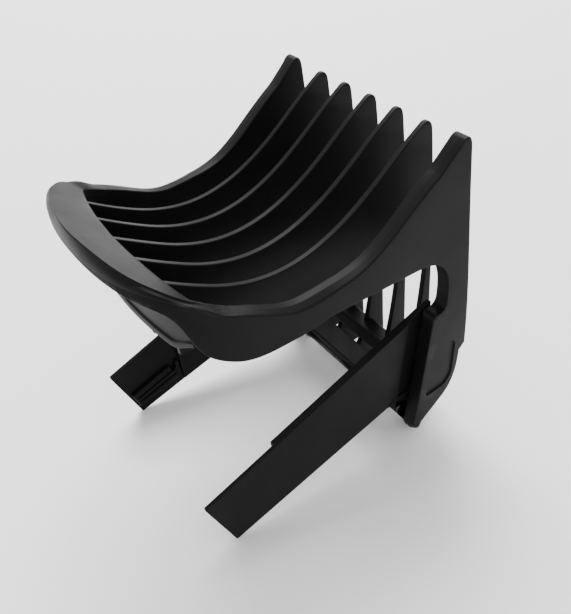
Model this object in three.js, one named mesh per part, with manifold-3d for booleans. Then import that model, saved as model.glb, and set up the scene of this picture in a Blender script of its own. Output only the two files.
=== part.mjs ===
// Slide-on guard comb for a hair clipper, in millimetres, +Z up.
//
// X runs across the comb, -Y is the lip side and +Y the side of the tooth tips. The comb stands
// on the lower corners of its guide arms and on its two hinge feet. The origin is on that plane,
// midway along and across the comb.
//
// A comb head (cheeks, lip, teeth) tilts on a steel rod, which is held by the two hinge feet of a
// slide frame. Two torsion springs push the head back. The guide arms slide along the clipper.

import * as THREE from 'three';
import { mergeVertices } from 'three/addons/utils/BufferGeometryUtils.js';
import Module from 'manifold-3d';

const wasm = await Module();
wasm.setup();

// ---- Driving dimensions ----
const HALF_WIDTH = 25.2;
const HALF_LENGTH = 33;
const CHEEK = 3.1;
const GAP = 0.3;

const TOOTH_COUNT = 5;
const TOOTH_PITCH = 7.4;
const TOOTH_THICKNESS = 1.2;

// The saddle that the tooth tops follow, as a cubic curve in the YZ plane.
const SADDLE_FRONT = [-25.5, 63];
const SADDLE_PULL_FRONT = [1.9, 38.6];
const SADDLE_PULL_BACK = [20.3, 68.8];
const TIP = [28.4, 70.1];

const SEAT_Z = 48.5;
const TOOTH_SEAT_Z = 46.5;
const LIP_SLOPE = 0.575;
const LIP_THICKNESS = 1.8;
const LIP_INNER_BOW = 0.0062;
const APRON_THICKNESS = 1.4;
const APRON_FLANGE = [0.8, 1.7];

// Guide arms: tapered plates that slope down towards the lip side.
const ARM_OUTER = 21.8;
const ARM_SKIN = 0.8;
const ARM_CORE = 1;
const ARM_END_TOP = [-28.9, 14.9];
const ARM_END_BOTTOM = [-23.6, 0];
const ARM_HEEL_BOTTOM = [15.3, 11.7];
const ARM_ROOT_TOP = [24.9, 34.9];
const CORE_START = 0.3;
const RAIL_PROUD = 1;

// Hinge between the slide frame and the comb head.
const HINGE = [19.4, 8];
const ROD_RADIUS = 1.1;
const ROD_HALF_LENGTH = 21.2;
const RUNNING_GAP = 0.08;
const BARREL_RADIUS = 2.2;
const FOOT_INNER = 18.4;
const BRIDGE_Y = [17, 22.5];
const BRIDGE_Z = [10.6, 13];
const WEB_TOP = 11.4;
const WEB_EDGE = [[18.1, 14.9], [10, 16], [3, 17]];
const CROSSBAR_Y = [25, 29];
const CROSSBAR_Z = [11, 15];
const EAR_X = 16.9;
const EAR_THICKNESS = 2.4;
const STOP_REACH = 2.4;

const SPRING_X = 12.6;
const SPRING_TURNS = 3 + 2 / 3;
const SPRING_PITCH = 0.8;
const SPRING_RADIUS = 1.75;
const WIRE_RADIUS = 0.3;

// ---- Materials ----
const blackPlastic = () => new THREE.MeshStandardMaterial({ color: 0x151517, roughness: 0.42, metalness: 0 });
const springSteel = () => new THREE.MeshStandardMaterial({ color: 0xb4b6b8, roughness: 0.3, metalness: 1 });
const darkSteel = () => new THREE.MeshStandardMaterial({ color: 0x3a3a3e, roughness: 0.35, metalness: 1 });

// ---- Solids ----
function toSolid(geometry) {
  const bare = geometry.clone();
  bare.deleteAttribute('normal');
  bare.deleteAttribute('uv');
  const merged = mergeVertices(bare, 1e-4);
  const vertProperties = Float32Array.from(merged.attributes.position.array);
  const triVerts = Uint32Array.from(merged.index.array);
  return new wasm.Manifold(new wasm.Mesh({ numProp: 3, vertProperties, triVerts }));
}

function toGeometry(solid) {
  const mesh = solid.getMesh();
  const geometry = new THREE.BufferGeometry();
  geometry.setAttribute('position', new THREE.BufferAttribute(mesh.vertProperties, 3));
  geometry.setIndex(new THREE.BufferAttribute(mesh.triVerts, 1));
  geometry.computeVertexNormals();
  return geometry;
}

// A side outline (Y, Z) given thickness across X, from x0 to x1.
const SIDE_BASIS = new THREE.Matrix4().makeBasis(
  new THREE.Vector3(0, 1, 0), new THREE.Vector3(0, 0, 1), new THREE.Vector3(1, 0, 0));

function sidePlate(shape, x0, x1, curveSegments = 12) {
  const options = { depth: x1 - x0, bevelEnabled: false, curveSegments };
  const geometry = new THREE.ExtrudeGeometry(shape, options);
  geometry.applyMatrix4(SIDE_BASIS);
  geometry.translate(x0, 0, 0);
  return geometry;
}

// A plan outline (X, Y) given height from z0 to z1.
function planPrism(shape, z0, z1, curveSegments = 16) {
  const geometry = new THREE.ExtrudeGeometry(shape, { depth: z1 - z0, bevelEnabled: false, curveSegments });
  geometry.translate(0, 0, z0);
  return geometry;
}

function block(x, y, z) {
  const geometry = new THREE.BoxGeometry(x[1] - x[0], y[1] - y[0], z[1] - z[0]);
  geometry.translate((x[0] + x[1]) / 2, (y[0] + y[1]) / 2, (z[0] + z[1]) / 2);
  return geometry;
}

function polygon(points) {
  return new THREE.Shape(points.map(([u, v]) => new THREE.Vector2(u, v)));
}

// A round bar along X, centred on the hinge line.
function hingeCylinder(radius, x0, x1, sides = 32) {
  const geometry = new THREE.CylinderGeometry(radius, radius, x1 - x0, sides);
  geometry.rotateZ(Math.PI / 2);
  geometry.translate((x0 + x1) / 2, HINGE[0], HINGE[1]);
  return geometry;
}

const mix = (a, b, t) => [a[0] + (b[0] - a[0]) * t, a[1] + (b[1] - a[1]) * t];
const span = (side, inner, outer) => (side > 0 ? [inner, outer] : [-outer, -inner]);

const saddle = new THREE.CubicBezierCurve(
  ...[SADDLE_FRONT, SADDLE_PULL_FRONT, SADDLE_PULL_BACK, TIP].map(([y, z]) => new THREE.Vector2(y, z)));

// Points of the saddle from y0 on to the tip.
function saddlePoints(y0, count = 28) {
  return saddle.getPoints(count).filter((point) => point.x > y0);
}

const lipInnerY = (x) => SADDLE_FRONT[0] + LIP_INNER_BOW * x * x;
const lipPlaneZ = (y) => SADDLE_FRONT[1] + LIP_SLOPE * (SADDLE_FRONT[0] - y);

// ---- Comb head ----

// Side outline of a cheek: saddle rim, tip, back edge, heel, window, seat and chin.
function cheekOutline() {
  const lipBottom = (y) => lipPlaneZ(y) - LIP_THICKNESS - GAP;
  const rimStart = -22.4;
  const shape = new THREE.Shape();
  shape.moveTo(-34, lipBottom(-34));
  shape.lineTo(-33.6, 63.8);
  shape.bezierCurveTo(-24.5, 57, -21, 48, -13, 47.9);
  shape.quadraticCurveTo(-8, 48.2, -4, SEAT_Z);
  shape.lineTo(18, SEAT_Z);
  shape.bezierCurveTo(23.6, SEAT_Z, 26.3, 46, 26.3, 39);
  shape.lineTo(26.2, 36.2);
  shape.lineTo(25.2, 35.2);
  shape.lineTo(23.2, 34.9);
  shape.lineTo(20.9, 14.5);
  shape.lineTo(19.5, 5.4);
  shape.quadraticCurveTo(19.9, 3.2, 21.9, 3.6);
  shape.lineTo(28.8, 9.2);
  shape.bezierCurveTo(31.6, 11.6, 32.9, 15.5, 32.9, 21.5);
  shape.bezierCurveTo(32.6, 36, 30.6, 48, 28.6, 68.4);
  shape.bezierCurveTo(28.4, 71.2, 27.5, 71.6, 26.4, 70.7);
  const rim = saddlePoints(rimStart).reverse().filter((point) => point.x < 22.4);
  rim.forEach((point) => shape.lineTo(point.x, point.y));
  shape.lineTo(rimStart, rim[rim.length - 1].y + 1);
  shape.lineTo(rimStart, lipBottom(rimStart));
  return shape;
}

// Plan outline of the comb, drawn in from the outer face by inset.
function planOutline(inset) {
  const half = HALF_WIDTH - inset;
  const front = -HALF_LENGTH + inset;
  const shape = new THREE.Shape();
  shape.moveTo(half, 40);
  shape.lineTo(-half, 40);
  shape.lineTo(-half, -16);
  shape.bezierCurveTo(-half, -28 + inset, -16.5, front, 0, front);
  shape.bezierCurveTo(16.5, front, half, -28 + inset, half, -16);
  return shape;
}

// The two cheeks and the front wall, which are one shell.
function combFrame() {
  const outer = toSolid(planPrism(planOutline(0), 1, 75));
  const inner = toSolid(planPrism(planOutline(CHEEK), 0, 76));
  const sides = toSolid(sidePlate(cheekOutline(), -30, 30, 10));
  return toGeometry(outer.subtract(inner).intersect(sides));
}

// The crescent lip, which lies on the front wall and slopes up away from the teeth.
function frontLip() {
  const tip = 21.2;
  const shape = new THREE.Shape();
  shape.moveTo(-tip, lipInnerY(tip));
  shape.bezierCurveTo(-21, -28.5, -13.5, -HALF_LENGTH + 0.4, 0, -HALF_LENGTH + 0.4);
  shape.bezierCurveTo(13.5, -HALF_LENGTH + 0.4, 21, -28.5, tip, lipInnerY(tip));
  shape.quadraticCurveTo(0, 2 * lipInnerY(0) - lipInnerY(tip), -tip, lipInnerY(tip));
  const geometry = planPrism(shape, -LIP_THICKNESS, 0, 14);
  const slope = new THREE.Matrix4().set(
    1, 0, 0, 0,
    0, 1, 0, 0,
    0, -LIP_SLOPE, 1, lipPlaneZ(0),
    0, 0, 0, 1);
  return geometry.applyMatrix4(slope);
}

// A curved wall in plan, between two offsets in front of the lip's inner edge.
function bowedWall(offset, thickness, halfSpan, z0, z1) {
  const edge = (x, out) => lipInnerY(x) - out;
  const steps = 12;
  const points = [];
  for (let i = 0; i <= steps; i += 1) {
    const x = -halfSpan + (2 * halfSpan * i) / steps;
    points.push([x, edge(x, offset + thickness)]);
  }
  for (let i = steps; i >= 0; i -= 1) {
    const x = -halfSpan + (2 * halfSpan * i) / steps;
    points.push([x, edge(x, offset)]);
  }
  return planPrism(polygon(points), z0, z1);
}

// The inner wall below the lip, with a flange along its lower edge.
function innerApron() {
  const halfSpan = 19.5;
  const top = lipPlaneZ(SADDLE_FRONT[0]) - LIP_THICKNESS - 1.6;
  const wall = toSolid(bowedWall(0, APRON_THICKNESS, halfSpan, SEAT_Z, top));
  const [proud, height] = APRON_FLANGE;
  const middle = APRON_THICKNESS / 2;
  const flange = toSolid(bowedWall(middle, middle + proud, halfSpan - 1, SEAT_Z, SEAT_Z + height));
  const room = toSolid(planPrism(planOutline(CHEEK + GAP), 1, 75));
  return toGeometry(wall.add(flange).intersect(room));
}

// One hook-shaped tooth: saddle top, pointed tip, and a straight rear leg.
function tooth(x) {
  const front = lipInnerY(x) + GAP;
  const shape = new THREE.Shape();
  const top = saddlePoints(front);
  shape.moveTo(front, TOOTH_SEAT_Z);
  shape.lineTo(18, TOOTH_SEAT_Z);
  shape.bezierCurveTo(25, TOOTH_SEAT_Z, 29.4, 45, 29.8, 37.3);
  shape.lineTo(27.4, CROSSBAR_Z[1] + GAP);
  shape.lineTo(CROSSBAR_Y[1] + GAP, CROSSBAR_Z[1] + GAP);
  shape.lineTo(CROSSBAR_Y[1] + GAP, CROSSBAR_Z[0] - GAP);
  shape.lineTo(31.2, 2);
  shape.lineTo(HALF_LENGTH, 2.4);
  shape.lineTo(32.3, 15.5);
  shape.bezierCurveTo(31.7, 37, 31, 52, 29.2, 68.4);
  top.reverse().forEach((point) => shape.lineTo(point.x, point.y));
  shape.lineTo(front, top[top.length - 1].y + (top[top.length - 1].x - front) * LIP_SLOPE);
  return sidePlate(shape, x - TOOTH_THICKNESS / 2, x + TOOTH_THICKNESS / 2, 8);
}

// Bar that joins the rear legs of the teeth and runs from cheek to cheek.
function rearCrossbar() {
  const half = HALF_WIDTH - CHEEK - GAP;
  const [y0, y1] = CROSSBAR_Y;
  const [z0, z1] = CROSSBAR_Z;
  const shape = polygon([[y0, z0], [y1 - 1.2, z0], [y1, z0 + 1.2], [y1, z1], [y0, z1]]);
  return sidePlate(shape, -half, half);
}

// Ear of the comb head that turns on the hinge rod. Its flat nose meets the underside of the
// slide bridge, which is the stop for the return springs.
function hingeEar(side) {
  const [x0, x1] = span(side, EAR_X - EAR_THICKNESS / 2, EAR_X + EAR_THICKNESS / 2);
  const [y, z] = HINGE;
  const barFront = CROSSBAR_Y[0] - GAP;
  const barBottom = CROSSBAR_Z[0] - GAP;
  const reach = polygon([[y, z - BARREL_RADIUS], [y + 5.2, z + 0.4], [barFront + 2.7, barBottom],
    [barFront, barBottom], [barFront, barBottom + 1.9], [y + 4, z + 1.6], [y, BRIDGE_Z[0]],
    [y - STOP_REACH, BRIDGE_Z[0]], [y - STOP_REACH, z]]);
  const arm = toSolid(sidePlate(reach, x0, x1));
  const barrel = toSolid(hingeCylinder(BARREL_RADIUS, x0, x1));
  const bore = toSolid(hingeCylinder(ROD_RADIUS + RUNNING_GAP, x0 - 1, x1 + 1));
  return toGeometry(arm.add(barrel).subtract(bore));
}

// ---- Slide frame ----

// Guide arm: a thin outer skin over its whole length, and a core that thickens the root half and
// passes inside the cheek's leg.
function guideArm(side) {
  const midTop = mix(ARM_END_TOP, ARM_ROOT_TOP, CORE_START);
  const midBottom = mix(ARM_END_BOTTOM, ARM_HEEL_BOTTOM, CORE_START);
  const skinOutline = polygon([ARM_END_TOP, ARM_END_BOTTOM, ARM_HEEL_BOTTOM, [16.6, 13.3], [18, 13.3],
    [20.1, 33.4]]);
  const coreOutline = polygon([midTop, midBottom, ARM_HEEL_BOTTOM, [16.6, 13.3], [22.6, 13.3], [25.6, 26],
    [26.2, 35.7]]);
  const skin = toSolid(sidePlate(skinOutline, ...span(side, ARM_OUTER - ARM_SKIN, ARM_OUTER)));
  const core = toSolid(sidePlate(coreOutline, ...span(side, ARM_OUTER - ARM_SKIN - ARM_CORE,
    ARM_OUTER - ARM_SKIN)));
  return toGeometry(skin.add(core));
}

// Lengthwise rail on the inner face, with a click notch near its free end.
function guideRail(side) {
  const low = 0.18;
  const high = 0.46;
  const corner = (along, across) => mix(mix(ARM_END_BOTTOM, ARM_HEEL_BOTTOM, along),
    mix(ARM_END_TOP, ARM_ROOT_TOP, along), across);
  const notch = [0.24, 0.275];
  const notchFloor = 0.36;
  const outline = polygon([corner(0.015, low), corner(0.29, low), corner(0.29, high), corner(notch[1], high),
    corner(notch[1] - 0.005, notchFloor), corner(notch[0] + 0.005, notchFloor), corner(notch[0], high),
    corner(0.015, high)]);
  const face = ARM_OUTER - ARM_SKIN;
  return sidePlate(outline, ...span(side, face - RAIL_PROUD, face));
}

// Foot that holds the hinge rod, with a window that shows the rod's end.
function hingeFoot(side) {
  const outline = polygon([[15.8, 11.8], [23, 0], [24, 0], [24.4, 4], [23.8, 13], [17, 13]]);
  const foot = toSolid(sidePlate(outline, ...span(side, FOOT_INNER, ARM_OUTER)));
  const window = polygon([[17.6, 12.2], [17.8, 7.4], [21.2, 5], [21, 10.6]]);
  const pocket = toSolid(sidePlate(window, ...span(side, ARM_OUTER - 1.6, ARM_OUTER + 1)));
  const bore = toSolid(hingeCylinder(ROD_RADIUS + RUNNING_GAP, ...span(side, FOOT_INNER - 1, ARM_OUTER + 1)));
  return toGeometry(foot.subtract(pocket).subtract(bore));
}

// Plate that joins the two feet and takes the fixed legs of the springs; a thin web along its
// front edge grows forward towards the feet.
function slideBridge() {
  const half = FOOT_INNER - GAP;
  const front = WEB_EDGE.map(([x, y]) => [-x, y]).concat(WEB_EDGE.slice().reverse());
  const web = polygon([...front, [half, BRIDGE_Y[0] + 1], [-half, BRIDGE_Y[0] + 1]]);
  const plate = toSolid(block([-half, half], BRIDGE_Y, BRIDGE_Z));
  return toGeometry(plate.add(toSolid(planPrism(web, BRIDGE_Z[0], WEB_TOP))));
}

// ---- Return springs ----

// Wire path of a torsion spring: a short leg under the bridge, the coil round the rod, and a
// long leg that rises to the front of the crossbar.
class SpringPath extends THREE.Curve {
  constructor(x, side) {
    super();
    this.x = x;
    this.side = side;
    this.shortLeg = 2.6;
    this.longLeg = 6.6;
    this.coil = 2 * Math.PI * SPRING_TURNS * SPRING_RADIUS;
    this.total = this.shortLeg + this.coil + this.longLeg;
  }

  coilPoint(turn) {
    const angle = 2 * Math.PI * SPRING_TURNS * turn;
    const x = this.x + this.side * SPRING_TURNS * SPRING_PITCH * (turn - 0.5);
    const y = HINGE[0] - SPRING_RADIUS * Math.sin(angle);
    return new THREE.Vector3(x, y, HINGE[1] + SPRING_RADIUS * Math.cos(angle));
  }

  getPoint(t) {
    const s = t * this.total - this.shortLeg;
    if (s < 0) return this.coilPoint(0).add(new THREE.Vector3(0, -s, 0));
    if (s <= this.coil) return this.coilPoint(s / this.coil);
    const angle = 2 * Math.PI * SPRING_TURNS;
    const reach = s - this.coil;
    const along = new THREE.Vector3(0, -Math.cos(angle) * reach, -Math.sin(angle) * reach);
    return this.coilPoint(1).add(along);
  }
}

function returnSpring(side) {
  const section = new THREE.Shape();
  section.absarc(0, 0, WIRE_RADIUS, 0, 2 * Math.PI);
  const path = new SpringPath(side * SPRING_X, side);
  const options = { steps: 80, curveSegments: 3, bevelEnabled: false, extrudePath: path };
  return new THREE.ExtrudeGeometry(section, options);
}

// ---- Assembly ----
const combHead = new THREE.Group();
const slideFrame = new THREE.Group();

function place(group, name, geometry, material) {
  const mesh = new THREE.Mesh(geometry, material);
  mesh.name = name;
  group.add(mesh);
}

place(combHead, 'comb_frame', combFrame(), blackPlastic());
place(combHead, 'front_lip', frontLip(), blackPlastic());
place(combHead, 'inner_apron', innerApron(), blackPlastic());
for (let i = 0; i < TOOTH_COUNT; i += 1) {
  const x = (i - (TOOTH_COUNT - 1) / 2) * TOOTH_PITCH;
  place(combHead, `tooth_${i + 1}`, tooth(x), blackPlastic());
}
place(combHead, 'rear_crossbar', rearCrossbar(), blackPlastic());

for (const [name, side] of [['left', -1], ['right', 1]]) {
  place(combHead, `hinge_ear_${name}`, hingeEar(side), blackPlastic());
  place(slideFrame, `guide_arm_${name}`, guideArm(side), blackPlastic());
  place(slideFrame, `guide_rail_${name}`, guideRail(side), blackPlastic());
  place(slideFrame, `hinge_foot_${name}`, hingeFoot(side), blackPlastic());
  place(slideFrame, `return_spring_${name}`, returnSpring(side), springSteel());
}
place(slideFrame, 'slide_bridge', slideBridge(), blackPlastic());
place(slideFrame, 'hinge_rod', hingeCylinder(ROD_RADIUS, -ROD_HALF_LENGTH, ROD_HALF_LENGTH), darkSteel());

const comb = new THREE.Group();
comb.add(combHead, slideFrame);

export default comb;
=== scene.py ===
"""Visual model of the slide-on clipper guard comb.

Lengths are written in millimetres and scaled to metres where meshes are made. X runs across the
comb, -Y is the lip side and +Y the side of the tooth tips, +Z is up.
"""
import bisect
import math

import bmesh
import bpy
from mathutils import Matrix, Vector
from mathutils.geometry import delaunay_2d_cdt


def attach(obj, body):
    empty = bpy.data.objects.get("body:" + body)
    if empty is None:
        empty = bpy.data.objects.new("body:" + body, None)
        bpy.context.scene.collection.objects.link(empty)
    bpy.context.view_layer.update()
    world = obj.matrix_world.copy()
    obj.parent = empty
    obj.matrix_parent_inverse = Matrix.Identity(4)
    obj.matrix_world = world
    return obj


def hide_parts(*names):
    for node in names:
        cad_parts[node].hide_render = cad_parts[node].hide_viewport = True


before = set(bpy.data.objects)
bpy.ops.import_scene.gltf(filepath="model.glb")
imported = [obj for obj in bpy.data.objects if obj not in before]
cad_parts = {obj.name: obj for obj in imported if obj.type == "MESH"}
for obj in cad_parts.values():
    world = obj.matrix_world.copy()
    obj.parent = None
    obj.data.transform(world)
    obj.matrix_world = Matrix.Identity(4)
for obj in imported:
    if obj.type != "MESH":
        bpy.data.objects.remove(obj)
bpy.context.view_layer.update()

MM = 0.001
SLIDE = "slide"
HEAD = "head"

# ---- Sizes, in millimetres ----
HALF_WIDTH = 25.2
HALF_LENGTH = 33.0
CHEEK = 3.1
SEAT_Z = 48.5
TOOTH_SEAT_Z = 46.5
TOOTH_PITCH = 7.4
TOOTH_THICKNESS = 1.2
SADDLE = ((-25.5, 63.0), (1.9, 38.6), (20.3, 68.8), (28.4, 70.1))
LIP_SLOPE = 0.575
LIP_BOW = 0.0062
LIP_PLANE_Z = 63.1
LIP_PLANE_SLOPE = 0.58
CHEEK_RIM_BLEND = (-24.6, -19.5)
HINGE_Y = 19.4
HINGE_Z = 8.0
ROD_RADIUS = 1.1
ROD_HALF_LENGTH = 21.2
BORE_CLEARANCE = 0.06
EAR_X = (15.7, 18.1)
EAR_BARREL_RADIUS = 2.2
CROSSBAR_HALF_LENGTH = 22.4
ARM_INNER = 20.0
ARM_OUTER = 21.8
FOOT_X = (18.4, 21.8)
BRIDGE_HALF_LENGTH = 18.6
SPRING_X = 12.6
SPRING_TURNS = 3 + 2 / 3
SPRING_PITCH = 0.8
SPRING_RADIUS = 1.75
SPRING_WIRE_RADIUS = 0.3
SPRING_SHORT_LEG = 2.6
SPRING_LONG_LEG = 6.2


# ---- Curves ----
def bezier(p0, p1, p2, p3, steps):
    """Points after p0, up to and including p3."""
    points = []
    for i in range(1, steps + 1):
        t = i / steps
        s = 1 - t
        points.append(tuple(s ** 3 * a + 3 * s * s * t * b + 3 * s * t * t * c + t ** 3 * d
                            for a, b, c, d in zip(p0, p1, p2, p3)))
    return points


def quad(p0, p1, p2, steps):
    """Points after p0 of a quadratic curve."""
    c1 = tuple(a + 2 * (b - a) / 3 for a, b in zip(p0, p1))
    c2 = tuple(c + 2 * (b - c) / 3 for b, c in zip(p1, p2))
    return bezier(p0, c1, c2, p2, steps)


def line(p0, p1, steps):
    """Points after p0 of a straight line."""
    return [tuple(a + (b - a) * i / steps for a, b in zip(p0, p1)) for i in range(1, steps + 1)]


def through(points, steps=6):
    """A smooth curve through the given points."""
    out = [points[0]]
    for i in range(len(points) - 1):
        p0, p1, p2 = points[max(i - 1, 0)], points[i], points[i + 1]
        p3 = points[min(i + 2, len(points) - 1)]
        c1 = tuple(b + (c - a) / 6 for a, b, c in zip(p0, p1, p2))
        c2 = tuple(c - (d - b) / 6 for b, c, d in zip(p1, p2, p3))
        out += bezier(p1, c1, c2, p2, steps)
    return out


def along_curve(points, y):
    """Height at y of a curve whose points run from low Y to high Y."""
    for (y0, z0), (y1, z1) in zip(points, points[1:]):
        if y0 <= y <= y1:
            return z0 + (z1 - z0) * (y - y0) / max(y1 - y0, 1e-9)
    return points[0][1] if y < points[0][0] else points[-1][1]


def round_corners(points, radii, steps=4):
    """A closed outline with each corner turned into an arc-like curve."""
    out = []
    count = len(points)
    for i, point in enumerate(points):
        radius = radii[i] if isinstance(radii, (list, tuple)) else radii
        here = Vector(point)
        before = Vector(points[i - 1]) - here
        after = Vector(points[(i + 1) % count]) - here
        reach = min(radius, before.length * 0.45, after.length * 0.45)
        if reach < 0.02:
            out.append(tuple(here))
            continue
        start = here + before.normalized() * reach
        end = here + after.normalized() * reach
        out.append(tuple(start))
        out.extend(quad(tuple(start), tuple(here), tuple(end), steps))
    return out


SADDLE_POINTS = [SADDLE[0]] + bezier(*SADDLE, 90)
SADDLE_Y = [p[0] for p in SADDLE_POINTS]


def saddle_z(y):
    """Height of the saddle that the tooth tops follow."""
    if y <= SADDLE_Y[0]:
        slope = (SADDLE[1][1] - SADDLE[0][1]) / (SADDLE[1][0] - SADDLE[0][0])
        return SADDLE[0][1] + slope * (y - SADDLE_Y[0])
    i = min(bisect.bisect_left(SADDLE_Y, y), len(SADDLE_Y) - 1)
    (y0, z0), (y1, z1) = SADDLE_POINTS[i - 1], SADDLE_POINTS[i]
    return z0 + (z1 - z0) * (y - y0) / (y1 - y0)


def lip_z(y):
    """Height of the lip's flat top."""
    return SADDLE[0][1] + LIP_SLOPE * (SADDLE[0][0] - y)


def lip_inner_y(x):
    """The lip's inner edge in plan."""
    return SADDLE[0][0] + LIP_BOW * x * x


def smooth(a, b, t):
    """0 before a, 1 after b, smooth between."""
    t = min(max((t - a) / (b - a), 0.0), 1.0)
    return t * t * (3 - 2 * t)


# The comb's outer plan line, from the middle of the lip to the right cheek's rear.
FRONT_CURVE = ((0.0, -HALF_LENGTH), (16.5, -HALF_LENGTH), (HALF_WIDTH, -28.0), (HALF_WIDTH, -16.0))
PLAN = [FRONT_CURVE[0]] + bezier(*FRONT_CURVE, 160)
PLAN_S = [0.0]
for first, second in zip(PLAN, PLAN[1:]):
    PLAN_S.append(PLAN_S[-1] + math.dist(first, second))
BEND_END = PLAN_S[-1]


def plan_point(s, inset=0.0):
    """Plan point at arc length s from the middle of the lip, moved inward by inset."""
    side = 1 if s >= 0 else -1
    s = abs(s)
    if s >= BEND_END:
        return side * (HALF_WIDTH - inset), PLAN[-1][1] + s - BEND_END
    i = max(1, min(bisect.bisect_left(PLAN_S, s), len(PLAN) - 1))
    k = (s - PLAN_S[i - 1]) / (PLAN_S[i] - PLAN_S[i - 1])
    tangents = []
    for j in (i - 1, i):
        a, b = PLAN[max(j - 1, 0)], PLAN[min(j + 1, len(PLAN) - 1)]
        tangents.append(Vector((1.0, 0.0)) if j == 0 else (Vector(b) - Vector(a)).normalized())
    tangent = tangents[0].lerp(tangents[1], k)
    normal = Vector((-tangent.y, tangent.x)).normalized()
    point = Vector(PLAN[i - 1]).lerp(Vector(PLAN[i]), k) + inset * normal
    return side * point.x, point.y


def s_of_y(y):
    """Arc length at which the plan line reaches y."""
    if y >= PLAN[-1][1]:
        return BEND_END + y - PLAN[-1][1]
    ys = [p[1] for p in PLAN]
    i = max(1, min(bisect.bisect_left(ys, y), len(ys) - 1))
    k = (y - ys[i - 1]) / max(ys[i] - ys[i - 1], 1e-9)
    return PLAN_S[i - 1] + (PLAN_S[i] - PLAN_S[i - 1]) * min(max(k, 0.0), 1.0)


# ---- Meshes ----
def new_object(name, verts, faces):
    """A mesh object from points in millimetres, with its faces turned outward."""
    mesh = bpy.data.meshes.new(name)
    mesh.from_pydata([tuple(c * MM for c in v) for v in verts], [], faces)
    mesh.validate()
    obj = bpy.data.objects.new(name, mesh)
    bpy.context.scene.collection.objects.link(obj)
    bm = bmesh.new()
    bm.from_mesh(mesh)
    bmesh.ops.remove_doubles(bm, verts=bm.verts, dist=1e-7)
    bmesh.ops.recalc_face_normals(bm, faces=bm.faces)
    bm.to_mesh(mesh)
    bm.free()
    return obj


def shade(obj, angle=34.0):
    """Smooth shading with sharp edges kept where faces meet at more than angle."""
    bm = bmesh.new()
    bm.from_mesh(obj.data)
    limit = math.radians(angle)
    for face in bm.faces:
        face.smooth = True
    for edge in bm.edges:
        edge.smooth = len(edge.link_faces) == 2 and edge.calc_face_angle(0.0) < limit
    bm.to_mesh(obj.data)
    bm.free()
    normals = obj.modifiers.new("weighted_normals", "WEIGHTED_NORMAL")
    normals.keep_sharp = True
    normals.weight = 80


def inward(loop):
    """Inward mitre vector at each point of a counter-clockwise outline."""
    vectors = []
    count = len(loop)
    for i in range(count):
        before = (Vector(loop[i]) - Vector(loop[i - 1])).normalized()
        after = (Vector(loop[(i + 1) % count]) - Vector(loop[i])).normalized()
        n0 = Vector((-before.y, before.x))
        n1 = Vector((-after.y, after.x))
        middle = n0 + n1
        if middle.length < 1e-6:
            middle = n1.copy()
        middle.normalize()
        vectors.append(middle / max(middle.dot(n1), 0.5))
    return vectors


def is_ccw(loop):
    """Whether an outline runs counter-clockwise."""
    return sum(a[0] * b[1] - b[0] * a[1] for a, b in zip(loop, loop[1:] + loop[:1])) > 0


def clean(loop, gap=0.03):
    """The outline without repeated points, counter-clockwise."""
    out = []
    for point in loop:
        if not out or math.dist(out[-1], point) > gap:
            out.append(point)
    if math.dist(out[0], out[-1]) < gap:
        out.pop()
    return out if is_ccw(out) else out[::-1]


def inside(point, loop):
    """Whether a point lies inside an outline."""
    x, y = point
    hit = False
    for (x0, y0), (x1, y1) in zip(loop, loop[1:] + loop[:1]):
        if (y0 > y) != (y1 > y) and x < (x1 - x0) * (y - y0) / (y1 - y0) + x0:
            hit = not hit
    return hit


def cap(loop, grid, clearance=0.5):
    """Triangles that fill an outline, with a grid of points inside it so that it can bend."""
    extra = []
    if grid:
        u0, u1 = min(p[0] for p in loop), max(p[0] for p in loop)
        v0, v1 = min(p[1] for p in loop), max(p[1] for p in loop)
        for i in range(int((u1 - u0) / grid)):
            for j in range(int((v1 - v0) / grid)):
                point = (u0 + (i + 0.5) * grid, v0 + (j + 0.5) * grid)
                near = min(math.dist(point, other) for other in loop)
                if near > clearance and inside(point, loop):
                    extra.append(point)
    points = [Vector(p) for p in list(loop) + extra]
    count = len(loop)
    edges = [(i, (i + 1) % count) for i in range(count)]
    verts, _, faces, _, _, _ = delaunay_2d_cdt(points, edges, [list(range(count))], 1, 1e-6)
    return [tuple(v) for v in verts], [list(f) for f in faces]


def level_plate(name, loop, levels, place=None, grid=0.0):
    """A plate built from copies of one outline at several depths.

    levels holds (depth, inset), where inset is a number or one number for each point. place turns
    (u, v, depth) into a point in space; by default u is Y, v is Z and depth is X.
    """
    place = place or (lambda u, v, depth: (depth, u, v))
    normals = inward(loop)
    verts, faces = [], []
    count = len(loop)
    rings = []
    for depth, inset in levels:
        amounts = inset if isinstance(inset, list) else [inset] * count
        ring = [(p[0] + n.x * a, p[1] + n.y * a) for p, n, a in zip(loop, normals, amounts)]
        rings.append(ring)
        verts.extend(place(u, v, depth) for u, v in ring)
    for level in range(len(levels) - 1):
        here, above = level * count, (level + 1) * count
        for i in range(count):
            j = (i + 1) % count
            faces.append([here + i, here + j, above + j, above + i])
    for level in (0, len(levels) - 1):
        depth = levels[level][0]
        cap_verts, cap_faces = cap(rings[level], grid)
        base = len(verts)
        verts.extend(place(u, v, depth) for u, v in cap_verts)
        faces.extend([base + k for k in face] for face in cap_faces)
    return new_object(name, verts, faces)


def rounded_levels(x0, x1, radius):
    """Levels of a plate from x0 to x1 whose rims are rounded."""
    r = radius
    return [(x0, r), (x0 + 0.13 * r, 0.5 * r), (x0 + 0.5 * r, 0.13 * r), (x0 + r, 0.0),
            (x1 - r, 0.0), (x1 - 0.5 * r, 0.13 * r), (x1 - 0.13 * r, 0.5 * r), (x1, r)]


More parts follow.
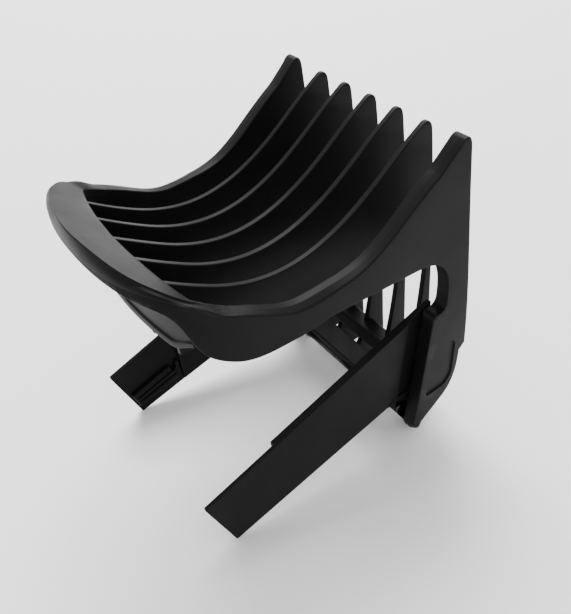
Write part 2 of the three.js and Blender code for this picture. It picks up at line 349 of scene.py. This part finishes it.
def loft(name, rings):
    """Skin over rings with equal numbers of points, with flat ends."""
    count = len(rings[0])
    verts = [p for ring in rings for p in ring]
    faces = []
    total = len(rings)
    for r in range(total - 1):
        a, b = r * count, (r + 1) * count
        for i in range(count):
            j = (i + 1) % count
            faces.append([a + i, a + j, b + j, b + i])
    faces.append(list(range(count)))
    faces.append([(total - 1) * count + i for i in range(count)])
    return new_object(name, verts, faces)


def boolean(obj, other, operation):
    """Applies a boolean of other to obj and removes other."""
    modifier = obj.modifiers.new("cut", "BOOLEAN")
    modifier.operation = operation
    modifier.object = other
    modifier.solver = "EXACT"
    depsgraph = bpy.context.evaluated_depsgraph_get()
    mesh = bpy.data.meshes.new_from_object(obj.evaluated_get(depsgraph))
    obj.modifiers.clear()
    old = obj.data
    obj.data = mesh
    mesh.name = old.name
    bpy.data.meshes.remove(old)
    bpy.data.objects.remove(other)
    return obj


def x_cylinder(name, radius, x0, x1, bevel=0.0, sides=48):
    """A round bar on the hinge axis, with chamfered ends."""
    stations = [(x0, radius - bevel), (x0 + bevel, radius), (x1 - bevel, radius), (x1, radius - bevel)]
    if not bevel:
        stations = [(x0, radius), (x1, radius)]
    rings = []
    for x, r in stations:
        rings.append([(x, HINGE_Y + r * math.cos(a), HINGE_Z + r * math.sin(a))
                      for a in (2 * math.pi * i / sides for i in range(sides))])
    return loft(name, rings)


# ---- Materials ----
def noise(tree, coords, scale, detail):
    """A noise texture in the piece's own coordinates."""
    node = tree.nodes.new("ShaderNodeTexNoise")
    node.inputs["Scale"].default_value = scale
    node.inputs["Detail"].default_value = detail
    node.inputs["Roughness"].default_value = 0.55
    tree.links.new(coords.outputs["Object"], node.inputs["Vector"])
    return node


def map_range(tree, source, low, high, to_low, to_high):
    """The source rescaled from low...high to to_low...to_high."""
    node = tree.nodes.new("ShaderNodeMapRange")
    node.inputs["From Min"].default_value = low
    node.inputs["From Max"].default_value = high
    node.inputs["To Min"].default_value = to_low
    node.inputs["To Max"].default_value = to_high
    tree.links.new(source, node.inputs["Value"])
    return node.outputs["Result"]


GRAIN_DEPTH = 0.00002


def plastic(name, colour, worn, rough):
    """Moulded plastic: fine grain, uneven gloss and slightly paler worn edges."""
    material = bpy.data.materials.new(name)
    material.use_nodes = True
    tree = material.node_tree
    shader = tree.nodes["Principled BSDF"]
    coords = tree.nodes.new("ShaderNodeTexCoord")
    geometry = tree.nodes.new("ShaderNodeNewGeometry")
    patches = noise(tree, coords, 90, 4)
    fine = noise(tree, coords, 2600, 2)
    wear = tree.nodes.new("ShaderNodeMath")
    wear.operation = "MULTIPLY"
    edges = map_range(tree, geometry.outputs["Pointiness"], 0.53, 0.62, 0.0, 1.0)
    tree.links.new(edges, wear.inputs[0])
    tree.links.new(map_range(tree, patches.outputs["Fac"], 0.35, 0.7, 0.2, 1.0), wear.inputs[1])
    mix = tree.nodes.new("ShaderNodeMix")
    mix.data_type = "RGBA"
    mix.inputs["A"].default_value = (*colour, 1)
    mix.inputs["B"].default_value = (*worn, 1)
    tree.links.new(wear.outputs[0], mix.inputs["Factor"])
    tree.links.new(mix.outputs["Result"], shader.inputs["Base Color"])
    tree.links.new(map_range(tree, patches.outputs["Fac"], 0.3, 0.7, rough - 0.05, rough + 0.07),
                   shader.inputs["Roughness"])
    bump = tree.nodes.new("ShaderNodeBump")
    bump.inputs["Strength"].default_value = 0.35
    bump.inputs["Distance"].default_value = GRAIN_DEPTH
    tree.links.new(fine.outputs["Fac"], bump.inputs["Height"])
    tree.links.new(bump.outputs["Normal"], shader.inputs["Normal"])
    shader.inputs["Specular IOR Level"].default_value = 0.07
    return material


def steel(name, colour, rough):
    """Drawn steel with fine mottled marks."""
    material = bpy.data.materials.new(name)
    material.use_nodes = True
    tree = material.node_tree
    shader = tree.nodes["Principled BSDF"]
    coords = tree.nodes.new("ShaderNodeTexCoord")
    patches = noise(tree, coords, 700, 3)
    mix = tree.nodes.new("ShaderNodeMix")
    mix.data_type = "RGBA"
    mix.inputs["A"].default_value = (*colour, 1)
    mix.inputs["B"].default_value = (*(c * 0.6 for c in colour), 1)
    tree.links.new(map_range(tree, patches.outputs["Fac"], 0.45, 0.75, 0.0, 1.0), mix.inputs["Factor"])
    tree.links.new(mix.outputs["Result"], shader.inputs["Base Color"])
    tree.links.new(map_range(tree, patches.outputs["Fac"], 0.3, 0.7, rough - 0.06, rough + 0.1),
                   shader.inputs["Roughness"])
    bump = tree.nodes.new("ShaderNodeBump")
    bump.inputs["Strength"].default_value = 0.3
    bump.inputs["Distance"].default_value = GRAIN_DEPTH
    tree.links.new(patches.outputs["Fac"], bump.inputs["Height"])
    tree.links.new(bump.outputs["Normal"], shader.inputs["Normal"])
    shader.inputs["Metallic"].default_value = 1.0
    return material


BLACK = plastic("black_moulding", (0.005, 0.005, 0.0055), (0.014, 0.014, 0.015), 0.44)
STEEL = steel("spring_wire", (0.6, 0.61, 0.62), 0.3)
DARK_STEEL = steel("blackened_steel", (0.05, 0.05, 0.055), 0.35)


def finish_piece(obj, body, material, slot, *nodes, angle=34.0):
    """Shades a piece and gives it its material, its body and the CAD nodes that it replaces."""
    shade(obj, angle)
    obj.data.materials.clear()
    obj.data.materials.append(material)
    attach(obj, body)
    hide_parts(*nodes)
    return obj


# ---- Comb head ----
# Lower edge of the front wall, and lower edge of the band round the lip.
CHIN = through([(-33.6, 63.2), (-31.6, 62.3), (-30.0, 61.6), (-28.4, 60.9), (-27.0, 59.8),
                (-25.9, 57.8), (-24.95, 55.1), (-23.95, 52.9), (-22.6, 51.2), (-20.2, 49.6),
                (-17.0, 48.25), (-13.2, 47.6), (-9.0, 47.6)])
BAND = through([(-33.0, 63.6), (-31.0, 63.55), (-29.0, 63.35), (-27.5, 62.9), (-25.5, 62.1),
                (-23.2, 60.9)])


def chin_z(y):
    """Lower edge of the front wall."""
    return along_curve(CHIN, y)


# How strongly the cheek's top edge is bevelled, by Y.
RIM_SHAPE = through([(-26.0, 0.3), (-18.0, 0.3), (-10.0, 1.0), (-3.0, 1.5), (4.0, 0.8), (10.0, 0.35),
                     (17.0, 0.35), (23.0, 0.8)])
# How far the cheek's top edge stands above the saddle, by Y.
RIM_LIFT = through([(-31.0, 0.0), (-27.5, 0.3), (-24.5, 0.2), (-22.0, 0.15), (-20.0, 0.3), (-18.0, 0.6),
                    (-15.0, 0.8), (-12.0, 0.5), (-9.0, 0.0), (-6.5, -0.15), (-3.5, 0.0), (0.0, 0.0),
                    (3.5, -0.4), (7.2, -0.65), (11.2, -0.35), (15.2, 0.2), (19.5, 0.4), (23.0, 0.15),
                    (25.0, 0.0)])
RIM_DROP = 0.45     # depth of the bevel along the top edge
RIM_FLAT = 1.5      # width of that bevel
HEEL_DROP = 1.5     # depth of the bevel round the cheek's heel
DRAFT = 0.7         # how far the front wall leans inward at its top


def outer_top_z(y):
    """Height of the comb's top along its outer edge: the lip's plane, then the saddle."""
    plane = LIP_PLANE_Z + LIP_PLANE_SLOPE * (SADDLE[0][0] - y)
    return plane + (saddle_z(y) - plane) * smooth(*CHEEK_RIM_BLEND, y) + along_curve(RIM_LIFT, y)


def inner_top_z(x, y):
    """Height of the lip's inner edge, and of the rim's inner edge beyond the lip."""
    dip = 0.25 + 0.5 * max(0.0, 1 - abs(x) / 21.5)
    beyond = smooth(-24.0, -20.0, y)
    return saddle_z(y) - dip * (1 - beyond) + along_curve(RIM_LIFT, y) * beyond


def shell_top(y):
    """Top of the front wall and the cheeks, without the lip."""
    return outer_top_z(y) - 1.1 * (1 - smooth(-22.6, -19.7, y))


def lip_edge_end():
    """Arc length and point where the lip's inner edge meets the shell's inner face."""
    low, high = s_of_y(-30.0), s_of_y(-18.0)
    for _ in range(40):
        middle = (low + high) / 2
        x, y = plan_point(middle, CHEEK)
        low, high = (middle, high) if y < lip_inner_y(x) else (low, middle)
    return low, plan_point(low, CHEEK)


LIP_MEET, (LIP_MEET_X, _) = lip_edge_end()


def rim_inner(s, extra=0.0):
    """Plan point on the inner edge of the lip, or of the rim beyond the lip's ends."""
    if abs(s) < LIP_MEET:
        x = LIP_MEET_X * s / LIP_MEET
        return Vector((x, lip_inner_y(x)))
    return Vector(plan_point(s, CHEEK + extra))


def rim_fall(s):
    """How much the top rises for each millimetre inward; negative where it slopes down."""
    outer = Vector(plan_point(s))
    inner = rim_inner(s)
    return (inner_top_z(inner.x, inner.y) - outer_top_z(outer.y)) / (inner - outer).length


def half_shell_outline():
    """Side outline of half the shell as (arc length, Z, rim).

    rim is above 0 along the bevelled top edge, below 0 round the heel and 0 elsewhere.
    """
    points = []
    steps = 70
    start = s_of_y(-9.0)
    for i in range(steps + 1):
        s = start * i / steps
        points.append((s, chin_z(plan_point(s)[1]), 0.0))

    def add(more, kind=0.0):
        points.extend((s_of_y(y), z, kind) for y, z in more)

    add(quad((-9.0, chin_z(-9.0)), (-5.0, 47.6), (-1.0, SEAT_Z), 6))
    add(line((-1.0, SEAT_Z), (18.0, SEAT_Z), 12))
    add(bezier((18.0, SEAT_Z), (23.6, SEAT_Z), (26.3, 46.0), (26.3, 39.0), 14))
    add(line((26.3, 39.0), (26.25, 37.0), 2))
    add(quad((26.25, 37.0), (26.1, 35.3), (24.7, 35.1), 6))
    add(line((24.7, 35.1), (24.0, 35.0), 2))
    add(quad((24.0, 35.0), (23.2, 34.9), (23.05, 34.0), 4))
    add(line((23.05, 34.0), (20.9, 14.5), 10))
    add(line((20.9, 14.5), (19.6, 6.0), 5))
    add(quad((19.6, 6.0), (19.6, 3.2), (21.9, 3.6), 5), -0.5)
    add(line((21.9, 3.6), (28.8, 9.2), 6), -1.0)
    add(bezier((28.8, 9.2), (31.6, 11.6), (32.9, 15.5), (32.9, 21.5), 10), -1.0)
    add(bezier((32.9, 21.5), (32.6, 36.0), (30.6, 48.0), (28.6, 68.4), 26))
    add(bezier((28.6, 68.4), (28.4, 71.1), (27.6, 71.4), (26.5, 70.7), 8))
    rim_start = s_of_y(22.2)
    points.extend((s_of_y(y), z, 0.4) for y, z in line((26.5, 70.7), (22.2, saddle_z(22.2) + 0.15), 4))
    steps = 92
    for i in range(1, steps + 1):
        s = rim_start * (1 - i / steps)
        y = plan_point(s)[1]
        points.append((s, shell_top(y), along_curve(RIM_SHAPE, y)))
    return points


def cut_leg_panels(shell):
    """Cuts the shallow recessed panel into the outside of both cheeks, near their lower ends."""
    panel = round_corners([(22.7, 13.0), (28.2, 13.6), (29.8, 16.0), (30.0, 24.6), (29.4, 25.6),
                           (24.4, 27.4)], 0.9)
    for hand in (-1, 1):
        depths = [(hand * 24.85, 0.2), (hand * 25.1, 0.0), (hand * 26.0, 0.0)]
        boolean(shell, level_plate("recess", clean(panel), depths), "DIFFERENCE")


def comb_shell():
    """The two cheeks and the front wall, one wall bent along the plan line."""
    half = half_shell_outline()
    mirrored = [(-s, z, rim) for s, z, rim in half[1:-1]][::-1]
    full = half + mirrored
    loop = [(s, z) for s, z, _ in full]
    rims = [rim for _, _, rim in full]
    if not is_ccw(loop):
        loop, rims = loop[::-1], rims[::-1]

    def level(depth, plain, rim_drop=0.0, heel_drop=0.0):
        amounts = []
        for kind in rims:
            extra = rim_drop * kind if kind > 0 else -heel_drop * kind
            amounts.append(plain + extra)
        return depth, amounts

    levels = [
        level(0.0, 0.2, RIM_DROP, HEEL_DROP), level(0.04, 0.09, RIM_DROP, HEEL_DROP),
        level(0.12, 0.02, RIM_DROP - 0.02, HEEL_DROP - 0.1),
        level(0.4, 0.0, RIM_DROP - 0.11, HEEL_DROP - 0.45),
        level(RIM_FLAT - 0.3, 0.0, 0.11, 0.1), level(RIM_FLAT - 0.12, 0.0, 0.03),
        level(RIM_FLAT + 0.06, 0.0),
        level(CHEEK - 0.3, 0.0), level(CHEEK - 0.12, 0.06), level(CHEEK - 0.03, 0.15), level(CHEEK, 0.3),
    ]
    front = s_of_y(-25.0)
    side = s_of_y(-20.0)

    def place(s, z, depth):
        y = plan_point(s)[1]
        rise = smooth(chin_z(y) + 1.0, outer_top_z(y) - 2.2, z)
        lean = DRAFT * rise * (1 - smooth(front, side, abs(s))) * (1 - depth / CHEEK)
        x, y = plan_point(s, depth + lean)
        return x, y, z + rim_fall(s) * depth * rise

    shell = level_plate("comb_shell", loop, levels, place, grid=1.3)
    cut_leg_panels(shell)
    return finish_piece(shell, HEAD, BLACK, "black_plastic", "comb_frame")


def lip_section(s, end):
    """The lip's cross-section at arc length s, where end is the arc length at which it runs out."""
    outer = Vector(plan_point(s))
    normal = (Vector(plan_point(s, 1.0)) - outer).normalized()
    sink = 0.38 * smooth(s_of_y(-19.6), end, abs(s)) - 0.03
    inner = rim_inner(s, 0.04 - sink)
    top = outer_top_z(outer.y)
    width = (inner - outer).length
    fall = (inner_top_z(inner.x, inner.y) - top) / width
    crest = 0.4 + 0.5 * smooth(0, 10, abs(s)) + 0.8 * smooth(s_of_y(-27.5), s_of_y(-22.0), abs(s))
    low = min(along_curve(BAND, outer.y) - top, -1.1)
    high = fall * crest
    rise = high - low
    # (inset, height above the top) from the band's foot to the crest: at the lip, then beyond it.
    at_lip = [(1.4, low - 0.1), (0.75, low - 0.1), (0.12, low), (0.0, low + 0.15),
              (0.04 * crest, low + 0.3 * rise), (0.3 * crest, low + 0.65 * rise),
              (crest - 0.14, high - 0.32), (crest - 0.05, high - 0.14), (crest + 0.04, high - 0.03),
              (crest + 0.25, high + 0.25 * fall)]
    at_rim = [(1.4, -1.6), (0.75, -1.55), (0.35, -1.5), (0.1, -1.25), (0.03, -0.36), (0.12, -0.18),
              (0.6, -0.1), (1.0, -0.05), (1.3, -0.02), (1.6, 0.0)]
    rim = smooth(s_of_y(-25.5), s_of_y(-20.5), abs(s))
    ring = []
    for (inset_a, drop_a), (inset_b, drop_b) in zip(at_lip, at_rim):
        p = outer + normal * (inset_a + (inset_b - inset_a) * rim + sink)
        ring.append((p.x, p.y, top + drop_a + (drop_b - drop_a) * rim - sink))
    last = ring[-1]
    edge = (inner.x, inner.y, top + fall * width - sink)
    for share, drop in ((0.5, 0.0), (0.88, 0.0), (0.96, 0.05), (1.0, 0.25), (1.0, 1.3), (0.7, 1.8)):
        x, y, z = (a + (b - a) * share for a, b in zip(last, edge))
        ring.append((x, y, z - drop))
    return ring


def crescent_lip():
    """The crescent lip and the steep band round its edge; its ends run out into the cheeks' rims."""
    end = s_of_y(-15.5)
    stations = 110
    rings = [lip_section(end * (2 * k / stations - 1), end) for k in range(stations + 1)]
    lip = loft("crescent_lip", rings)
    return finish_piece(lip, HEAD, BLACK, "black_plastic", "front_lip", angle=38)


def apron():
    """The bowed inner wall below the lip, with a flange along its lower edge."""
    high = lip_z(SADDLE[0][0]) - 1.4
    half_span = 20.6
    foot = SEAT_Z
    profile = [(0.0, high), (-0.5, foot + 0.2), (-0.3, foot), (0.95, foot), (1.1, foot + 0.2),
               (1.1, foot + 1.35), (0.95, foot + 1.6), (0.75, foot + 1.75), (0.7, foot + 4.0),
               (0.6, foot + 8.0), (0.5, high)]
    rings = []
    steps = 48
    for k in range(steps + 1):
        x = half_span * (2 * k / steps - 1)
        lift = 3.2 * smooth(14.5, 21.5, abs(x))
        drop = high - inner_top_z(x, lip_inner_y(x)) + 0.7
        ring = []
        for out, z in profile:
            share = (high - z) / (high - foot)
            ring.append((x, lip_inner_y(x) - out, z + lift * share - drop * (1 - share)))
        rings.append(ring)
    wall = loft("inner_apron_wall", rings)
    return finish_piece(wall, HEAD, BLACK, "black_plastic", "inner_apron", angle=40)


def tooth(index):
    """A hook-shaped tooth: a thin plate that follows the saddle and runs down a leg to its foot."""
    x = (index - 3) * TOOTH_PITCH
    front = lip_inner_y(x) - 0.2
    top = []
    steps = 46
    for i in range(steps + 1):
        y = 24.0 + (front - 24.0) * i / steps
        z = saddle_z(y)
        dip = 0.5 + 0.5 * max(0.0, 1 - abs(x) / 21.5)
        top.append((y, z - dip * max(0.0, 1 - (y - front) / 8.0) ** 2))
    outline = [(front, TOOTH_SEAT_Z)]
    outline += line((front, TOOTH_SEAT_Z), (18.0, TOOTH_SEAT_Z), 10)
    outline += bezier((18.0, TOOTH_SEAT_Z), (25.0, TOOTH_SEAT_Z), (29.6, 45.0), (29.9, 37.3), 14)
    outline += bezier((29.9, 37.3), (29.5, 30.0), (28.9, 24.0), (27.8, 18.0), 8)
    outline += bezier((27.8, 18.0), (26.9, 13.0), (26.6, 11.5), (25.2, 9.4), 6)
    outline += quad((25.2, 9.4), (23.6, 7.0), (24.3, 4.4), 6)
    outline += quad((24.3, 4.4), (25.2, 2.3), (28.0, 2.3), 5)
    outline += line((28.0, 2.3), (31.6, 2.3), 3)
    outline += quad((31.6, 2.3), (33.0, 2.4), (32.95, 3.8), 4)
    outline += line((32.95, 3.8), (32.35, 15.5), 4)
    outline += bezier((32.35, 15.5), (31.7, 37.0), (31.0, 52.0), (29.3, 67.6), 22)
    outline += bezier((29.3, 67.6), (29.1, 69.9), (28.4, 70.4), (27.2, 70.0), 6)
    outline += line((27.2, 70.0), top[0], 3)[:-1]
    outline += top
    half = TOOTH_THICKNESS / 2
    plate = level_plate(f"comb_tooth_{index}", clean(outline), rounded_levels(x - half, x + half, 0.24))
    return finish_piece(plate, HEAD, BLACK, "black_plastic", f"tooth_{index}")


def side_span(side, span):
    """A span in X on one side of the middle, lower end first."""
    return sorted((side * span[0], side * span[1]))


def rear_crossbar():
    """The bar across the tooth legs, with its lower rear corner cut off."""
    outline = round_corners([(25.0, 11.0), (27.8, 11.0), (29.0, 12.2), (29.0, 15.0), (25.0, 15.0)], 0.5)
    levels = rounded_levels(-CROSSBAR_HALF_LENGTH, CROSSBAR_HALF_LENGTH, 0.2)
    bar = level_plate("leg_crossbar", clean(outline), levels)
    return finish_piece(bar, HEAD, BLACK, "black_plastic", "rear_crossbar")


def hinge_ear(side, name):
    """An arm of the head with a barrel that turns on the rod."""
    x0, x1 = side_span(side, EAR_X)
    y, z = HINGE_Y, HINGE_Z
    reach = [(y, z - 2.2), (y + 5.2, z + 0.4), (27.4, 10.9), (27.0, 13.0), (25.4, 13.4), (y + 4, z + 1.6),
             (y, 10.55), (y - 2.4, 10.55), (y - 2.4, z)]
    outline = round_corners(reach, [0.0, 1.0, 0.5, 0.5, 0.5, 0.8, 0.2, 0.4, 0.3])
    ear = level_plate(f"pivot_ear_{name}", clean(outline), rounded_levels(x0, x1, 0.2))
    boolean(ear, x_cylinder("barrel", EAR_BARREL_RADIUS, x0, x1, bevel=0.2), "UNION")
    boolean(ear, x_cylinder("bore", ROD_RADIUS + BORE_CLEARANCE, x0 - 1, x1 + 1), "DIFFERENCE")
    return finish_piece(ear, HEAD, BLACK, "black_plastic", f"hinge_ear_{name}")


# ---- Slide frame ----
# The arm's four corners in side view.
END_TOP, END_BOTTOM = (-28.7, 14.3), (-23.6, 0.0)
HEEL_BOTTOM, ROOT_TOP = (15.3, 11.7), (24.9, 34.3)


def along_arm(along, across):
    """A point on the arm: along from its free end, across from its lower edge."""
    low = [a + (b - a) * along for a, b in zip(END_BOTTOM, HEEL_BOTTOM)]
    high = [a + (b - a) * along for a, b in zip(END_TOP, ROOT_TOP)]
    return tuple(a + (b - a) * across for a, b in zip(low, high))


def guide_arm(side, name):
    """An arm: a thin outer skin over its whole length, thickened inward by a core behind its end."""
    skin = round_corners([END_TOP, END_BOTTOM, HEEL_BOTTOM, (16.6, 13.2), (18.0, 13.2), (20.1, 32.8)],
                         [0.5, 0.5, 0.4, 0.2, 0.2, 0.3])
    core = round_corners([along_arm(0.3, 1), along_arm(0.3, 0.06), along_arm(0.98, 0.03), (16.6, 13.2),
                          (22.6, 13.2), (25.6, 26.0), (26.2, 35.1)], [0.3, 0.3, 0.4, 0.2, 0.3, 0.5, 0.4])
    skin_levels = rounded_levels(*side_span(side, (21.0, ARM_OUTER)), 0.16)
    core_levels = rounded_levels(*side_span(side, (ARM_INNER, 21.3)), 0.2)
    arm = level_plate(f"arm_{name}", clean(skin), skin_levels)
    inner = level_plate("core", clean(core), core_levels)
    boolean(arm, inner, "UNION")
    return finish_piece(arm, SLIDE, BLACK, "black_plastic", f"guide_arm_{name}")


def guide_rail(side, name):
    """The rail on the arm's inner face, with the click notch at its end and two grooves along it."""
    low, high = 0.18, 0.46
    corners = [along_arm(0.015, low), along_arm(0.29, low), along_arm(0.29, high), along_arm(0.275, high),
               along_arm(0.27, 0.36), along_arm(0.245, 0.36), along_arm(0.24, high), along_arm(0.015, high)]
    rail = level_plate(f"rail_{name}", clean(round_corners(corners, 0.3)),
                       rounded_levels(*side_span(side, (ARM_INNER, 21.1)), 0.25))
    for across in (0.255, 0.345):
        groove = [along_arm(0.03, across), along_arm(0.265, across), along_arm(0.265, across + 0.03),
                  along_arm(0.03, across + 0.03)]
        boolean(rail, level_plate("groove", clean(round_corners(groove, 0.15)),
                                  [(side * 19.6, 0.0), (side * 20.5, 0.0)]), "DIFFERENCE")
    return finish_piece(rail, SLIDE, BLACK, "black_plastic", f"guide_rail_{name}")


def hinge_foot(side, name):
    """A foot below the arm's root, with a pocket in its outer face and the rod's bore."""
    outline = round_corners([(15.8, 11.8), (23.0, 0.0), (24.0, 0.0), (24.4, 4.0), (23.8, 13.2), (17.0, 13.2)],
                            [0.5, 0.4, 0.5, 0.5, 0.3, 0.4])
    levels = rounded_levels(*side_span(side, FOOT_X), 0.22)
    foot = level_plate(f"foot_{name}", clean(outline), levels)
    window = round_corners([(17.6, 12.2), (17.8, 7.4), (21.2, 5.0), (21.0, 10.6)], 0.6)
    pocket = level_plate("pocket", clean(window), rounded_levels(*side_span(side, (20.2, 23.0)), 0.1))
    boolean(foot, pocket, "DIFFERENCE")
    bore = x_cylinder("bore", ROD_RADIUS + BORE_CLEARANCE, *side_span(side, (17, 23)))
    boolean(foot, bore, "DIFFERENCE")
    return finish_piece(foot, SLIDE, BLACK, "black_plastic", f"hinge_foot_{name}")


def slide_bridge():
    """Plate between the feet, with a thin web in front that grows forward towards them."""
    rings = []
    steps = 48
    for k in range(steps + 1):
        x = BRIDGE_HALF_LENGTH * (2 * k / steps - 1)
        front = 16.9 - 2.0 * max(0.0, abs(x) - 3.0) / 15.1
        ring = [(front, 11.2), (front, 10.8), (front + 0.2, 10.6), (22.2, 10.6), (22.5, 10.9),
                (22.5, 12.7), (22.2, 13.0), (17.3, 13.0), (17.0, 12.7), (17.0, 11.5), (16.95, 11.4),
                (front + 0.15, 11.4)]
        rings.append([(x, y, z) for y, z in ring])
    bridge = loft("yoke_bridge", rings)
    return finish_piece(bridge, SLIDE, BLACK, "black_plastic", "slide_bridge")


def spring_path(side):
    """Points along a torsion spring's wire: short leg, coil, long leg."""
    sweep = 2 * math.pi * SPRING_TURNS

    def coil(turn):
        angle = sweep * turn
        x = SPRING_X + SPRING_TURNS * SPRING_PITCH * (turn - 0.5)
        return Vector((side * x, HINGE_Y - SPRING_RADIUS * math.sin(angle),
                       HINGE_Z + SPRING_RADIUS * math.cos(angle)))

    points = [coil(0) + Vector((0, SPRING_SHORT_LEG * i / 6, 0)) for i in range(6, 0, -1)]
    points += [coil(i / 140) for i in range(141)]
    leaving = Vector((0, -math.cos(sweep), -math.sin(sweep)))
    points += [coil(1) + leaving * SPRING_LONG_LEG * i / 10 for i in range(1, 11)]
    return points


def return_spring(side, name):
    """A torsion spring: round wire along its path."""
    points = spring_path(side)
    rings = []
    sides = 12
    up = Vector((1, 0, 0))
    for i, point in enumerate(points):
        tangent = (points[min(i + 1, len(points) - 1)] - points[max(i - 1, 0)]).normalized()
        across = tangent.cross(up).normalized()
        other = tangent.cross(across).normalized()
        rings.append([tuple(point + SPRING_WIRE_RADIUS * (across * math.cos(a) + other * math.sin(a)))
                      for a in (2 * math.pi * k / sides for k in range(sides))])
    spring = loft(f"torsion_spring_{name}", rings)
    return finish_piece(spring, SLIDE, STEEL, "spring_steel", f"return_spring_{name}", angle=50)


comb_shell()
crescent_lip()
apron()
for number in range(1, 6):
    tooth(number)
rear_crossbar()
for name, side in (("left", -1), ("right", 1)):
    hinge_ear(side, name)
    guide_arm(side, name)
    guide_rail(side, name)
    hinge_foot(side, name)
    return_spring(side, name)
slide_bridge()
rod = x_cylinder("cross_rod", ROD_RADIUS, -ROD_HALF_LENGTH, ROD_HALF_LENGTH, bevel=0.25)
finish_piece(rod, SLIDE, DARK_STEEL, "dark_steel", "hinge_rod")


# ---- Camera ----
CAMERA_PLACE = (0.0954, -0.0529, 0.1245)
CAMERA_ANGLES = (58.43, 40.0, -5.04)
FOCAL_PIXELS = 702.7
PICTURE_WIDTH = 571


def make_camera():
    """The camera of the main view: azimuth, elevation and roll in degrees."""
    azimuth, elevation, roll = (math.radians(angle) for angle in CAMERA_ANGLES)
    right = Vector((math.cos(azimuth), math.sin(azimuth), 0))
    forward = Vector((-math.sin(azimuth) * math.cos(elevation), math.cos(azimuth) * math.cos(elevation),
                      -math.sin(elevation)))
    up = right.cross(forward)
    turned_right = math.cos(roll) * right + math.sin(roll) * up
    turned_up = -math.sin(roll) * right + math.cos(roll) * up
    data = bpy.data.cameras.new("camera")
    data.sensor_fit = "HORIZONTAL"
    data.sensor_width = 36.0
    data.lens = 36.0 * FOCAL_PIXELS / PICTURE_WIDTH
    data.clip_start = 0.002
    data.clip_end = 50.0
    camera = bpy.data.objects.new("camera", data)
    camera.matrix_world = Matrix.Translation(CAMERA_PLACE) @ Matrix(
        (turned_right, turned_up, -forward)).transposed().to_4x4()
    bpy.context.scene.collection.objects.link(camera)
    bpy.context.scene.camera = camera


# ---- Studio ----
def make_studio():
    """A pale paper floor, a white surround and two soft lights."""
    floor_mesh = bpy.data.meshes.new("floor")
    size = 6.0
    floor_mesh.from_pydata([(-size, -size, 0), (size, -size, 0), (size, size, 0), (-size, size, 0)], [],
                           [(0, 1, 2, 3)])
    floor = bpy.data.objects.new("floor", floor_mesh)
    bpy.context.scene.collection.objects.link(floor)
    material = bpy.data.materials.new("floor_paper")
    material.use_nodes = True
    shader = material.node_tree.nodes["Principled BSDF"]
    shader.inputs["Base Color"].default_value = (0.9, 0.9, 0.9, 1)
    shader.inputs["Roughness"].default_value = 0.9
    floor_mesh.materials.append(material)

    world = bpy.data.worlds.new("studio")
    world.use_nodes = True
    background = world.node_tree.nodes["Background"]
    background.inputs["Color"].default_value = (1, 1, 1, 1)
    background.inputs["Strength"].default_value = 1.2
    bpy.context.scene.world = world

    for name, place, size, power in (
            ("key", (-0.45, 0.2, 0.8), 0.6, 16.0),
            ("back", (-0.62, 0.72, 0.2), 0.6, 5.0)):
        data = bpy.data.lights.new(name, "AREA")
        data.shape = "SQUARE"
        data.size = size
        data.energy = power
        light = bpy.data.objects.new(name, data)
        light.location = place
        aim = Vector((0, 0, 0.04)) - Vector(place)
        light.rotation_euler = aim.to_track_quat("-Z", "Y").to_euler()
        bpy.context.scene.collection.objects.link(light)


make_camera()
make_studio()
